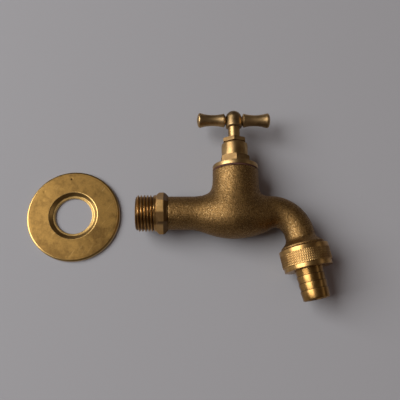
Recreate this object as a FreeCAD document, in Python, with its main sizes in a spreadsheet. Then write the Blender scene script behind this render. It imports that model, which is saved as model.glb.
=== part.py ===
import FreeCAD, Part
import math
import os

import Sketcher

# Garden tap with a screwed hose union and a loose wall rose, in millimetres.
# The origin is on the inlet axis where the inlet thread meets its hexagon.
# +X runs from the inlet to the outlet, +Z up the spindle, and the rose lies in the plane of the back.

doc = FreeCAD.newDocument("garden_tap")

# Every size that can be set by itself, in mm or degrees
sizes = {
    # inlet: thread, hexagon and tube
    "inlet_thread_radius": 10.48,
    "inlet_thread_length": 11.6,
    "inlet_thread_lead": 1.3,
    "inlet_hex_flats": 21.0,
    "inlet_hex_turn": 7.0,
    "inlet_hex_width": 4.4,
    "inlet_hex_chamfer": 1.6,
    "inlet_hex_chamfer_length": 1.7,
    "inlet_hex_taper": 0.9,
    "inlet_hex_taper_length": 1.5,
    "inlet_skirt_length": 2.4,
    "inlet_skirt_curve": 2.4,
    "inlet_tube_radius": 9.6,
    "inlet_bore_radius": 7.2,
    "inlet_bore_depth": 34.0,
    # casting: barrel, swell and spout
    "spindle_x": 46.3,
    "barrel_radius": 13.5,
    "barrel_top": 25.2,
    "barrel_foot_drop": 0.9,
    "barrel_inlet_fillet": 8.5,
    "barrel_spout_fillet": 4.0,
    "swell_x": 45.3,
    "swell_drop": 2.5,
    "swell_half_length": 24.3,
    "swell_half_width": 14.2,
    "swell_half_height": 12.0,
    "spout_radius": 8.5,
    "spout_bore_radius": 6.3,
    "spout_rise": 1.4,
    "spout_bend_x": 65.5,
    "spout_bend_radius": 16.7,
    "outlet_tilt": 11.0,
    # nozzle that carries the union, measured along the outlet axis from the end of the bend
    "flare_start": 2.0,
    "flare_length": 5.0,
    "flare_radius": 12.4,
    "flare_curve": 7.0,
    "nozzle_shoulder": 8.3,
    "outlet_thread_radius": 11.45,
    "outlet_thread_length": 4.9,
    "outlet_thread_lead": 0.8,
    # waterway round the seat
    "passage_radius": 5.8,
    "inlet_passage_x": 17.0,
    "inlet_passage_fall": 5.5,
    "outlet_passage_start_x": 48.0,
    "outlet_passage_start_z": 11.0,
    "lower_chamber_radius": 8.5,
    "lower_chamber_drop": 2.8,
    "web_underside_drop": 1.5,
    "seat_bore_radius": 6.0,
    "seat_rim_width": 1.6,
    "seat_rim_height": 2.0,
    "seat_z": 6.5,
    # clearances
    "thread_clearance": 0.05,
    "running_clearance": 0.05,
    "loose_clearance": 0.3,
    "stem_clearance": 0.1,
    "face_gap": 0.1,
    # headwork: bonnet
    "bonnet_washer_thickness": 0.8,
    "bonnet_washer_radius": 13.25,
    "bonnet_thread_radius": 11.4,
    "bonnet_thread_length": 8.0,
    "bonnet_mouth_radius": 6.5,
    "bonnet_mouth_depth": 1.9,
    "collar_radius": 13.4,
    "collar_height": 2.6,
    "collar_edge": 0.4,
    "bonnet_hex_flats": 16.2,
    "bonnet_hex_height": 5.6,
    "bonnet_hex_chamfer": 0.9,
    "neck_radius": 7.85,
    "neck_height": 8.4,
    "neck_round": 1.2,
    "stuffing_radius": 5.6,
    "stuffing_depth": 8.7,
    "stem_guide_length": 1.5,
    # headwork: gland
    "base_ring_thickness": 1.0,
    "packing_cord": 1.1,
    "packing_groove": 0.3,
    "follower_thickness": 1.2,
    "gland_hex_flats": 13.0,
    "gland_hex_height": 2.4,
    "gland_hex_chamfer": 0.5,
    "gland_hex_turn": 83.5,
    "gland_lift": 0.7,
    # spindle and valve
    "spindle_thread_radius": 5.0,
    "spindle_thread_length": 15.0,
    "spindle_radius": 3.5,
    "spindle_chamfer": 0.5,
    "spindle_exposed": 7.8,
    "valve_washer_radius": 7.2,
    "valve_washer_thickness": 3.0,
    "jumper_plate_thickness": 1.8,
    "jumper_lip_width": 0.6,
    "jumper_lip_depth": 1.2,
    "jumper_stem_radius": 2.0,
    "jumper_stem_length": 8.0,
    "jumper_thread_radius": 1.95,
    "washer_plate_radius": 4.6,
    "washer_plate_thickness": 0.8,
    "washer_nut_flats": 7.0,
    "washer_nut_height": 2.2,
    "jumper_thread_spare": 0.6,
    # tee handle
    "hub_radius": 4.95,
    "hub_foot_round": 1.15,
    "hub_side_height": 6.05,
    "hub_socket_depth": 8.4,
    "arm_height_in_hub": 4.9,
    "arm_reach": 22.4,
    "arm_end_radius": 4.5,
    "arm_end_round": 1.2,
    "arm_end_dome": 9.0,
    "arm_waist_curve": 26.0,
    "arm_inner_radius": 4.15,
    "arm_inner_reach": 6.3,
    "arm_cone_length": 1.25,
    "arm_inner_rim": 0.4,
    "arm_neck_radius": 2.6,
    "handle_bar_radius": 2.0,
    "handle_bar_grip": 8.0,
    # hose union
    "nut_radius": 14.1,
    "nut_height": 12.2,
    "nut_rim_radius": 13.55,
    "nut_rim_height": 2.5,
    "nut_edge": 0.35,
    "nut_lip_thickness": 3.4,
    "union_washer_thickness": 1.8,
    "union_washer_bore": 6.4,
    "tail_radius": 8.0,
    "tail_bore_radius": 5.8,
    "tail_barb_length": 4.1,
    "tail_barb_cover": 0.5,
    "tail_barb_step": 0.45,
    "tail_barb_taper": 0.04,
    "tail_end_length": 0.9,
    "tail_end_chamfer": 0.5,
    # wall rose, lying face up in the plane of the tap's back
    "rose_x": -49.8,
    "rose_z": 2.0,
    "rose_radius": 27.3,
    "rose_height": 2.8,
    "rose_rim_round": 1.3,
    "rose_crown_drop": 0.6,
    "rose_wall": 1.1,
    "rose_lip_radius": 14.6,
    "rose_lip_round": 0.95,
    "rose_recess_slope": 41.5,
    "rose_recess_depth": 1.7,
    "rose_bore_radius": 10.9,
}

TAIL_BARBS = 4
PACKING_TURNS = 3

sheet = doc.addObject("Spreadsheet::Sheet", "dims")
for row, (alias, value) in enumerate(sizes.items(), start=1):
    sheet.set("A%d" % row, alias)
    sheet.set("B%d" % row, str(value))
    sheet.setAlias("B%d" % row, alias)
doc.recompute()


def number(expression):
    """Value of an expression on the sheet's sizes."""
    result = sheet.evalExpression(expression)
    return float(getattr(result, "Value", result))


def bind(thing, settings):
    """Bind each property of an object to an expression on the sheet."""
    for name, expression in settings.items():
        thing.setExpression(name, expression)
    return thing


def put(thing, x="0", y="0", z="0", turn=None, axis=(0, 0, 1)):
    """Place an object at x, y, z, turned about an axis by an angle that may follow the sheet."""
    angle = number(turn) if turn else 0.0
    thing.Placement = FreeCAD.Placement(
        FreeCAD.Vector(number(x), number(y), number(z)),
        FreeCAD.Rotation(FreeCAD.Vector(*axis), angle),
    )
    bind(thing, {"Placement.Base.x": x, "Placement.Base.y": y, "Placement.Base.z": z})
    if turn:
        thing.setExpression("Placement.Rotation.Angle", turn)
    return thing


def primitive(kind, name, **settings):
    """A Part primitive whose properties follow the sheet."""
    return bind(doc.addObject("Part::" + kind, name), settings)


def arc_between(start, end, radius, side):
    """Arc from start to end, bulging to the left (side 1) or right (side -1) of the way it runs."""
    across = end - start
    middle = (start + end) * 0.5
    left = FreeCAD.Vector(-across.y, across.x, 0).normalize()
    height = math.sqrt(radius ** 2 - (across.Length / 2) ** 2)
    centre = middle - left * (side * height)
    first, last = (end, start) if side > 0 else (start, end)
    from_angle = math.atan2(first.y - centre.y, first.x - centre.x)
    to_angle = math.atan2(last.y - centre.y, last.x - centre.x)
    if to_angle < from_angle:
        to_angle += 2 * math.pi
    circle = Part.Circle(centre, FreeCAD.Vector(0, 0, 1), radius)
    return Part.ArcOfCircle(circle, from_angle, to_angle)


def turned(name, outline):
    """A body of revolution about its own Z from a closed half section.

    Each corner is (radius, height), or (radius, height, arc radius, side) where the stretch
    to the next corner is an arc. Radii and heights are expressions on the sheet.
    """
    body = doc.addObject("PartDesign::Body", name)
    plane = [item for item in body.Origin.OriginFeatures if item.Role == "XZ_Plane"][0]
    section = body.newObject("Sketcher::SketchObject", name + "_section")
    section.AttachmentSupport = [(plane, "")]
    section.MapMode = "FlatFace"
    corners = [FreeCAD.Vector(number(c[0]), number(c[1]), 0) for c in outline]
    for index, corner in enumerate(outline):
        start, end = corners[index], corners[(index + 1) % len(corners)]
        if len(corner) == 4:
            section.addGeometry(arc_between(start, end, number(corner[2]), corner[3]))
        else:
            section.addGeometry(Part.LineSegment(start, end))
    # arcs always run anticlockwise in a sketch, so one that bulges to the left is met by its end
    ends = [(2, 1) if len(corner) == 4 and corner[3] > 0 else (1, 2) for corner in outline]
    bound = []
    for index, corner in enumerate(outline):
        follower = (index + 1) % len(outline)
        section.addConstraint(
            Sketcher.Constraint("Coincident", index, ends[index][1], follower, ends[follower][0])
        )
        for kind, axis, expression in (("DistanceX", -2, corner[0]), ("DistanceY", -1, corner[1])):
            if abs(number(expression)) < 1e-9:
                section.addConstraint(
                    Sketcher.Constraint("PointOnObject", index, ends[index][0], axis)
                )
            else:
                place = section.addConstraint(
                    Sketcher.Constraint(kind, -1, 1, index, ends[index][0], number(expression))
                )
                bound.append((place, expression))
        if len(corner) == 4:
            place = section.addConstraint(
                Sketcher.Constraint("Radius", index, number(corner[2]))
            )
            bound.append((place, corner[2]))
    for place, expression in bound:
        section.setExpression("Constraints[%d]" % place, expression)
    turning = body.newObject("PartDesign::Revolution", name + "_turning")
    turning.Profile = section
    turning.ReferenceAxis = (section, ["V_Axis"])
    turning.Angle = 360.0
    body.Tip = turning
    return body


def ring(name, bore, radius, thickness):
    """A plain flat ring."""
    return turned(name, [(bore, "0"), (radius, "0"), (radius, thickness), (bore, thickness)])


def joined(name, pieces):
    """Several shapes as one solid."""
    fuse = doc.addObject("Part::MultiFuse", name)
    fuse.Shapes = pieces
    fuse.Refine = True
    return fuse


def cut(name, base, tool):
    """One shape with another taken out of it."""
    result = doc.addObject("Part::Cut", name)
    result.Base = base
    result.Tool = tool
    result.Refine = True
    return result


def hexagon(name, flats, height, bore, chamfer, fall=None, turn=None, chamfer_at_top=True):
    """A hexagon ring with its corners chamfered on one face, before it is placed.

    A corner lies along X unless it is turned. The chamfer is a cone at 30 degrees to the face
    unless its fall is given too.
    """
    prism = primitive(
        "Prism", name + "_prism", Circumradius="%s / 2 / cos(30)" % flats, Height=height
    )
    put(prism, turn=turn)
    prism.Polygon = 6
    corner = "(%s / 2 / cos(30) + 0.01)" % flats
    face = "(%s / 2 / cos(30) - %s)" % (flats, chamfer)
    fall = fall or "(%s * tan(30))" % chamfer
    if chamfer_at_top:
        outline = [
            (bore, "0"),
            (corner, "0"),
            (corner, "%s - %s" % (height, fall)),
            (face, height),
            (bore, height),
        ]
    else:
        outline = [(bore, "0"), (face, "0"), (corner, fall), (corner, height), (bore, height)]
    blank = turned(name + "_blank", outline)
    result = doc.addObject("Part::Common", name)
    result.Base = prism
    result.Tool = blank
    return result


# Levels and places worked out from the sizes
bend_end_x = "(dims.spout_bend_x + dims.spout_bend_radius * cos(dims.outlet_tilt))"
bend_end_z = "(dims.spout_rise - dims.spout_bend_radius * (1 - sin(dims.outlet_tilt)))"
outlet_turn = "180 - dims.outlet_tilt"


def on_outlet(thing, distance):
    """Place a turned piece with its Z down the outlet axis, this far from the end of the bend."""
    return put(
        thing,
        x="%s + %s * sin(dims.outlet_tilt)" % (bend_end_x, distance),
        z="%s - %s * cos(dims.outlet_tilt)" % (bend_end_z, distance),
        turn=outlet_turn,
        axis=(0, 1, 0),
    )


def on_spindle(thing, level, turn=None):
    """Place a piece on the spindle axis at a level."""
    return put(thing, x="dims.spindle_x", z=level, turn=turn)


def on_inlet(thing, x):
    """Place a turned piece with its Z along +X on the inlet axis."""
    return put(thing, x=x, turn="90", axis=(0, 1, 0))


nozzle_end = "(dims.nozzle_shoulder + dims.outlet_thread_length)"
collar_seat = "(dims.barrel_top + dims.bonnet_washer_thickness)"
bonnet_foot = "(%s - dims.bonnet_thread_length - dims.bonnet_washer_thickness)" % collar_seat
collar_top = "(%s + dims.collar_height)" % collar_seat
hex_top = "(%s + dims.bonnet_hex_height)" % collar_top
neck_top = "(%s + dims.neck_height)" % hex_top
stuffing_floor = "(%s - dims.stuffing_depth)" % neck_top
spindle_thread_top = "(%s - dims.stem_guide_length)" % stuffing_floor
gland_seat = "(%s + dims.gland_lift)" % neck_top
gland_top = "(%s + dims.gland_hex_height)" % gland_seat
hub_foot = "(%s + dims.spindle_exposed)" % gland_top
arm_level = "(%s + dims.arm_height_in_hub)" % hub_foot

# Casting: inlet tube, barrel with a round foot, and the root of the spout
inlet_tube = on_inlet(
    primitive(
        "Cylinder",
        "inlet_tube",
        Radius="dims.inlet_tube_radius",
        Height="dims.spindle_x - dims.inlet_hex_width",
    ),
    "dims.inlet_hex_width",
)
barrel_wall = on_spindle(
    primitive(
        "Cylinder",
        "barrel_wall",
        Radius="dims.barrel_radius",
        Height="dims.barrel_top + dims.barrel_foot_drop",
    ),
    "-dims.barrel_foot_drop",
)
barrel_foot = on_spindle(
    primitive("Sphere", "barrel_foot", Radius="dims.barrel_radius"), "-dims.barrel_foot_drop"
)
spout_root = put(
    primitive(
        "Cylinder",
        "spout_root",
        Radius="dims.spout_radius",
        Height="dims.spout_bend_x - dims.spindle_x",
    ),
    x="dims.spindle_x",
    z="dims.spout_rise",
    turn="90",
    axis=(0, 1, 0),
)
casting_core = joined("casting_core", [inlet_tube, barrel_wall, barrel_foot, spout_root])
doc.recompute()


def crossing_edges(shape, tube_radius, tube_z, low_x, high_x):
    """Edges where a level tube along X runs into the barrel, by their place on both walls."""
    found = []
    for index, edge in enumerate(shape.Edges, start=1):
        first, last = edge.FirstParameter, edge.LastParameter
        points = [edge.valueAt(first + (last - first) * step / 4) for step in range(5)]
        on_tube = all(
            abs(math.hypot(p.y, p.z - tube_z) - tube_radius) < 0.02 for p in points
        )
        straight = abs((points[0] - points[-1]).Length - edge.Length) < 1e-3
        inside = low_x < edge.BoundBox.Center.x < high_x
        if on_tube and inside and not straight:
            found.append(index)
    return found


def edge_fillet(name, base, radius, edges):
    """A fillet of one radius on numbered edges."""
    fillet = doc.addObject("Part::Fillet", name)
    fillet.Base = base
    fillet.Edges = [(index, number(radius), number(radius)) for index in edges]
    doc.recompute()
    return fillet


inlet_fillet = edge_fillet(
    "inlet_fillet",
    casting_core,
    "dims.barrel_inlet_fillet",
    crossing_edges(
        casting_core.Shape,
        number("dims.inlet_tube_radius"),
        0.0,
        number("dims.spindle_x - dims.barrel_radius - 1"),
        number("dims.spindle_x"),
    ),
)
spout_fillet = edge_fillet(
    "spout_fillet",
    inlet_fillet,
    "dims.barrel_spout_fillet",
    crossing_edges(
        inlet_fillet.Shape,
        number("dims.spout_radius"),
        number("dims.spout_rise"),
        number("dims.spindle_x"),
        number("dims.spindle_x + dims.barrel_radius + 1"),
    ),
)

# Casting: the egg-shaped swell round the valve, the bend and the nozzle
swell = put(
    primitive(
        "Ellipsoid",
        "swell",
        Radius1="dims.swell_half_height",
        Radius2="dims.swell_half_length",
        Radius3="dims.swell_half_width",
    ),
    x="dims.swell_x",
    z="-dims.swell_drop",
)


def bend(name, radius):
    """The quarter-round of the spout, or of the bore in it, from level to the outlet axis."""
    torus = primitive(
        "Torus",
        name,
        Radius1="dims.spout_bend_radius",
        Radius2=radius,
        Angle3="90 - dims.outlet_tilt",
    )
    torus.Placement = FreeCAD.Placement(
        FreeCAD.Vector(number("dims.spout_bend_x"), 0, number("dims.spout_rise - dims.spout_bend_radius")),
        FreeCAD.Rotation(FreeCAD.Vector(0, 0, 1), FreeCAD.Vector(1, 0, 0), FreeCAD.Vector(0, 1, 0), "XYZ"),
    )
    return bind(
        torus,
        {
            "Placement.Base.x": "dims.spout_bend_x",
            "Placement.Base.z": "dims.spout_rise - dims.spout_bend_radius",
        },
    )


spout_bend = bend("spout_bend", "dims.spout_radius")
nozzle = on_outlet(
    turned(
        "nozzle",
        [
            ("0", "0"),
            ("dims.spout_radius", "0"),
            ("dims.spout_radius", "dims.flare_start", "dims.flare_curve", 1),
            ("dims.flare_radius", "dims.flare_start + dims.flare_length"),
            ("dims.flare_radius", "dims.nozzle_shoulder"),
            ("dims.outlet_thread_radius", "dims.nozzle_shoulder"),
            ("dims.outlet_thread_radius", "%s - dims.outlet_thread_lead" % nozzle_end),
            ("dims.outlet_thread_radius - dims.outlet_thread_lead", nozzle_end),
            ("0", nozzle_end),
        ],
    ),
    "0",
)

# Casting: threaded inlet, its hexagon with a corner at the top, and the tapered skirt behind it
inlet_stem = on_inlet(
    turned(
        "inlet_stem",
        [
            ("0", "0"),
            ("dims.inlet_thread_radius - dims.inlet_thread_lead", "0"),
            ("dims.inlet_thread_radius", "dims.inlet_thread_lead"),
            ("dims.inlet_thread_radius", "dims.inlet_thread_length + dims.inlet_hex_width / 2"),
            ("dims.inlet_tube_radius", "dims.inlet_thread_length + dims.inlet_hex_width / 2"),
            ("dims.inlet_tube_radius", "dims.inlet_thread_length + dims.inlet_hex_width + 1"),
            ("0", "dims.inlet_thread_length + dims.inlet_hex_width + 1"),
        ],
    ),
    "-dims.inlet_thread_length",
)
inlet_hex = hexagon(
    "inlet_hex",
    "dims.inlet_hex_flats",
    "dims.inlet_hex_width",
    "dims.inlet_bore_radius",
    "dims.inlet_hex_chamfer",
    fall="dims.inlet_hex_chamfer_length",
    turn="dims.inlet_hex_turn",
    chamfer_at_top=False,
)
taper_slope = "(dims.inlet_hex_taper / dims.inlet_hex_taper_length)"
skirt_foot_flats = "(dims.inlet_hex_flats - 2 * %s * dims.inlet_skirt_length)" % taper_slope
hex_outlines = []
for name, flats, level in (
    ("skirt_top_outline", "dims.inlet_hex_flats", "dims.inlet_hex_width"),
    ("skirt_foot_outline", skirt_foot_flats, "dims.inlet_hex_width + dims.inlet_skirt_length"),
):
    outline = primitive("RegularPolygon", name, Circumradius="%s / 2 / cos(30)" % flats)
    outline.Polygon = 6
    hex_outlines.append(put(outline, z=level, turn="dims.inlet_hex_turn"))
skirt_taper = doc.addObject("Part::Loft", "skirt_taper")
skirt_taper.Sections = hex_outlines
skirt_taper.Solid = True
skirt_taper.Ruled = True
skirt_corner = "(dims.inlet_hex_flats / 2 / cos(30))"
skirt_blank = turned(
    "skirt_blank",
    [
        ("dims.inlet_bore_radius", "dims.inlet_hex_width"),
        (skirt_corner, "dims.inlet_hex_width"),
        (
            "%s - dims.inlet_hex_taper / cos(30)" % skirt_corner,
            "dims.inlet_hex_width + dims.inlet_hex_taper_length",
            "dims.inlet_skirt_curve",
            1,
        ),
        ("dims.inlet_tube_radius", "dims.inlet_hex_width + dims.inlet_skirt_length"),
        ("dims.inlet_bore_radius", "dims.inlet_hex_width + dims.inlet_skirt_length"),
    ],
)
inlet_skirt = doc.addObject("Part::Common", "inlet_skirt")
inlet_skirt.Base = skirt_taper
inlet_skirt.Tool = skirt_blank
inlet_wrench = on_inlet(joined("inlet_wrench", [inlet_hex, inlet_skirt]), "0")
casting = joined(
    "casting", [spout_fillet, swell, spout_bend, nozzle, inlet_stem, inlet_wrench]
)

# Waterway: inlet bore, sloping passage under the seat, seat, valve chamber, passage to the spout
inlet_bore = on_inlet(
    primitive(
        "Cylinder", "inlet_bore", Radius="dims.inlet_bore_radius", Height="dims.inlet_bore_depth"
    ),
    "-dims.inlet_thread_length",
)


def sloping_bore(name, start_x, start_z, end_x, end_z):
    """A straight passage of the waterway between two points of the middle plane."""
    run = "(%s - %s)" % (end_x, start_x)
    fall = "(%s - %s)" % (start_z, end_z)
    return put(
        primitive(
            "Cylinder",
            name,
            Radius="dims.passage_radius",
            Height="sqrt(%s * %s + %s * %s)" % (run, run, fall, fall),
        ),
        x=start_x,
        z=start_z,
        turn="90 deg + atan(%s / %s)" % (fall, run),
        axis=(0, 1, 0),
    )


inlet_passage = sloping_bore(
    "inlet_passage", "dims.inlet_passage_x", "0", "dims.spindle_x", "-dims.inlet_passage_fall"
)
outlet_passage = sloping_bore(
    "outlet_passage",
    "dims.outlet_passage_start_x",
    "dims.outlet_passage_start_z",
    "dims.spout_bend_x",
    "dims.spout_rise",
)
lower_chamber = on_spindle(
    primitive(
        "Sphere",
        "lower_chamber",
        Radius="dims.lower_chamber_radius",
        Angle2="asin((dims.lower_chamber_drop - dims.web_underside_drop) / dims.lower_chamber_radius)",
    ),
    "-dims.lower_chamber_drop",
)
seat_bore = on_spindle(
    primitive(
        "Cylinder",
        "seat_bore",
        Radius="dims.seat_bore_radius",
        Height="dims.seat_z + dims.lower_chamber_drop",
    ),
    "-dims.lower_chamber_drop",
)
chamber_radius = "(dims.bonnet_thread_radius + dims.thread_clearance)"
seat_rim_radius = "(dims.seat_bore_radius + dims.seat_rim_width)"
valve_chamber = on_spindle(
    turned(
        "valve_chamber",
        [
            (seat_rim_radius, "0"),
            (chamber_radius, "0"),
            (chamber_radius, "dims.barrel_top - dims.seat_z + dims.seat_rim_height"),
            ("0", "dims.barrel_top - dims.seat_z + dims.seat_rim_height"),
            ("0", "dims.seat_rim_height"),
            (seat_rim_radius, "dims.seat_rim_height"),
        ],
    ),
    "dims.seat_z - dims.seat_rim_height",
)
spout_bend_bore = bend("spout_bend_bore", "dims.spout_bore_radius")
nozzle_bore = on_outlet(
    primitive("Cylinder", "nozzle_bore", Radius="dims.spout_bore_radius", Height=nozzle_end), "0"
)
waterway = joined(
    "waterway",
    [
        inlet_bore,
        inlet_passage,
        lower_chamber,
        seat_bore,
        valve_chamber,
        outlet_passage,
        spout_bend_bore,
        nozzle_bore,
    ],
)
tap_body = cut("tap_body", casting, waterway)

# Headwork: fibre washer and the bonnet with its collar, hexagon, neck and stuffing box
bonnet_washer = on_spindle(
    ring(
        "bonnet_washer",
        "dims.bonnet_thread_radius + dims.loose_clearance",
        "dims.bonnet_washer_radius",
        "dims.bonnet_washer_thickness",
    ),
    "dims.barrel_top",
)


def above_foot(level):
    """Height of a level over the foot of the bonnet."""
    return "(%s - %s)" % (level, bonnet_foot)


spindle_thread_bore = "(dims.spindle_thread_radius + dims.thread_clearance)"
stem_bore = "(dims.spindle_radius + dims.running_clearance)"
bonnet_turning = on_spindle(
    turned(
        "bonnet_turning",
        [
            ("dims.bonnet_mouth_radius", "0"),
            ("dims.bonnet_thread_radius - dims.collar_edge", "0"),
            ("dims.bonnet_thread_radius", "dims.collar_edge"),
            ("dims.bonnet_thread_radius", above_foot(collar_seat)),
            ("dims.collar_radius", above_foot(collar_seat)),
            ("dims.collar_radius", "%s - dims.collar_edge" % above_foot(collar_top)),
            ("dims.collar_radius - dims.collar_edge", above_foot(collar_top)),
            ("dims.neck_radius", above_foot(collar_top)),
            (
                "dims.neck_radius",
                "%s - dims.neck_round" % above_foot(neck_top),
                "dims.neck_round",
                -1,
            ),
            ("dims.neck_radius - dims.neck_round", above_foot(neck_top)),
            ("dims.stuffing_radius", above_foot(neck_top)),
            ("dims.stuffing_radius", above_foot(stuffing_floor)),
            (stem_bore, above_foot(stuffing_floor)),
            (stem_bore, above_foot(spindle_thread_top)),
            (spindle_thread_bore, above_foot(spindle_thread_top)),
            (spindle_thread_bore, "dims.bonnet_mouth_depth"),
        ],
    ),
    bonnet_foot,
)
bonnet_hex = on_spindle(
    hexagon(
        "bonnet_hex",
        "dims.bonnet_hex_flats",
        "dims.bonnet_hex_height",
        "dims.stuffing_radius",
        "dims.bonnet_hex_chamfer",
    ),
    collar_top,
    turn="90",
)
bonnet = joined("bonnet", [bonnet_turning, bonnet_hex])

# Headwork: stuffing box with base ring, packing, follower and gland screw
ring_bore = "(dims.spindle_radius + dims.stem_clearance)"
box_filling = "(dims.stuffing_radius - dims.thread_clearance)"
base_ring = on_spindle(
    ring("packing_base_ring", ring_bore, box_filling, "dims.base_ring_thickness"), stuffing_floor
)
packing_floor = "(%s + dims.base_ring_thickness)" % stuffing_floor
packing_outline = [(stem_bore, "0")]
for turn in range(PACKING_TURNS):
    cord_foot = "%d * dims.packing_cord" % turn
    cord_top = "%d * dims.packing_cord" % (turn + 1)
    cord_side = "(%s - dims.packing_groove)" % box_filling
    packing_outline.append((cord_side, cord_foot))
    packing_outline.append((box_filling, "%s + dims.packing_groove" % cord_foot))
    packing_outline.append((box_filling, "%s - dims.packing_groove" % cord_top))
packing_outline.append(("(%s - dims.packing_groove)" % box_filling, cord_top))
packing_outline.append((stem_bore, cord_top))
gland_packing = on_spindle(turned("gland_packing", packing_outline), packing_floor)
follower_seat = "(%s + %d * dims.packing_cord)" % (packing_floor, PACKING_TURNS)
gland_follower = on_spindle(
    ring("gland_follower", ring_bore, box_filling, "dims.follower_thickness"), follower_seat
)
gland_foot = "(%s + dims.follower_thickness)" % follower_seat
gland_barrel = on_spindle(
    turned(
        "gland_barrel",
        [
            (ring_bore, "0"),
            ("%s - dims.spindle_chamfer" % box_filling, "0"),
            (box_filling, "dims.spindle_chamfer"),
            (box_filling, "%s - %s" % (gland_top, gland_foot)),
            (ring_bore, "%s - %s" % (gland_top, gland_foot)),
        ],
    ),
    gland_foot,
)
gland_hex = on_spindle(
    hexagon(
        "gland_hex",
        "dims.gland_hex_flats",
        "dims.gland_hex_height",
        ring_bore,
        "dims.gland_hex_chamfer",
    ),
    gland_seat,
    turn="dims.gland_hex_turn",
)
gland_screw = joined("gland_screw", [gland_barrel, gland_hex])

# Valve: rubber washer on its jumper, with the plate and nut that hold it
washer_foot = "(dims.seat_z + dims.face_gap)"
plate_foot = "(%s + dims.valve_washer_thickness)" % washer_foot
plate_top = "(%s + dims.jumper_plate_thickness)" % plate_foot
lip_radius = "(dims.valve_washer_radius + dims.face_gap + dims.jumper_lip_width)"
washer_plate_foot = "(%s - dims.washer_plate_thickness)" % washer_foot
washer_nut_foot = "(%s - dims.washer_nut_height)" % washer_plate_foot
jumper_foot = "(%s - dims.jumper_thread_spare)" % washer_nut_foot
jumper_bore = "(dims.jumper_thread_radius + dims.thread_clearance)"


def above_jumper_foot(level):
    """Height of a level over the foot of the jumper."""
    return "(%s - %s)" % (level, jumper_foot)


jumper = on_spindle(
    turned(
        "jumper",
        [
            ("0", "0"),
            ("dims.jumper_thread_radius", "0"),
            ("dims.jumper_thread_radius", above_jumper_foot(plate_foot)),
            ("dims.valve_washer_radius + dims.face_gap", above_jumper_foot(plate_foot)),
            (
                "dims.valve_washer_radius + dims.face_gap",
                "%s - dims.jumper_lip_depth" % above_jumper_foot(plate_foot),
            ),
            (lip_radius, "%s - dims.jumper_lip_depth" % above_jumper_foot(plate_foot)),
            (lip_radius, above_jumper_foot(plate_top)),
            ("dims.jumper_stem_radius", above_jumper_foot(plate_top)),
            (
                "dims.jumper_stem_radius",
                "%s + dims.jumper_stem_length" % above_jumper_foot(plate_top),
            ),
            ("0", "%s + dims.jumper_stem_length" % above_jumper_foot(plate_top)),
        ],
    ),
    jumper_foot,
)
valve_washer = on_spindle(
    ring("valve_washer", jumper_bore, "dims.valve_washer_radius", "dims.valve_washer_thickness"),
    washer_foot,
)
washer_plate = on_spindle(
    ring("washer_plate", jumper_bore, "dims.washer_plate_radius", "dims.washer_plate_thickness"),
    washer_plate_foot,
)
washer_nut = on_spindle(
    hexagon(
        "washer_nut",
        "dims.washer_nut_flats",
        "dims.washer_nut_height",
        jumper_bore,
        "dims.face_gap",
        chamfer_at_top=False,
    ),
    washer_nut_foot,
)

# Spindle: screwed part in the bonnet, smooth stem through the gland, socket for the jumper's stem
spindle_foot = "(%s + dims.face_gap)" % plate_top
spindle_length = "(%s + dims.hub_socket_depth - dims.loose_clearance - %s)" % (hub_foot, spindle_foot)
socket_radius = "(dims.jumper_stem_radius + dims.stem_clearance)"
socket_depth = "(dims.jumper_stem_length + 3 * dims.loose_clearance)"
spindle_turning = on_spindle(
    turned(
        "spindle_turning",
        [
            (socket_radius, "0"),
            ("dims.spindle_thread_radius - dims.spindle_chamfer", "0"),
            ("dims.spindle_thread_radius", "dims.spindle_chamfer"),
            ("dims.spindle_thread_radius", "dims.spindle_thread_length - dims.spindle_chamfer"),
            ("dims.spindle_radius", "dims.spindle_thread_length"),
            ("dims.spindle_radius", "%s - dims.spindle_chamfer" % spindle_length),
            ("dims.spindle_radius - dims.spindle_chamfer", spindle_length),
            ("0", spindle_length),
            ("0", "%s + %s / 2" % (socket_depth, socket_radius)),
            (socket_radius, socket_depth),
        ],
    ),
    spindle_foot,
)


def across_spindle(name, radius, half_length):
    """The handle's cross bar, or the hole for it, level along X at the height of the arms."""
    return put(
        primitive("Cylinder", name, Radius=radius, Height="2 * %s" % half_length),
        x="dims.spindle_x - %s" % half_length,
        z=arm_level,
        turn="90",
        axis=(0, 1, 0),
    )


bar_hole_radius = "(dims.handle_bar_radius + dims.running_clearance)"
spindle = cut(
    "spindle",
    spindle_turning,
    across_spindle("spindle_cross_hole", bar_hole_radius, "(dims.spindle_radius + 1)"),
)

# Tee handle: round-topped hub on the spindle, a bar through both and a waisted arm on each end
hub_turning = on_spindle(
    turned(
        "hub_turning",
        [
            (stem_bore, "0"),
            ("dims.hub_radius - dims.hub_foot_round", "0", "dims.hub_foot_round", -1),
            ("dims.hub_radius", "dims.hub_foot_round"),
            ("dims.hub_radius", "dims.hub_side_height", "dims.hub_radius", -1),
            ("0", "dims.hub_side_height + dims.hub_radius"),
            ("0", "dims.hub_socket_depth"),
            (stem_bore, "dims.hub_socket_depth"),
        ],
    ),
    hub_foot,
)
handle_hub = cut(
    "handle_hub",
    hub_turning,
    across_spindle("hub_cross_hole", bar_hole_radius, "(dims.hub_radius + 1)"),
)
arm_foot = "(dims.arm_inner_reach - dims.arm_cone_length)"
bar_end = "(%s + dims.handle_bar_grip)" % arm_foot
handle_bar = across_spindle("handle_bar", "dims.handle_bar_radius", bar_end)
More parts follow.
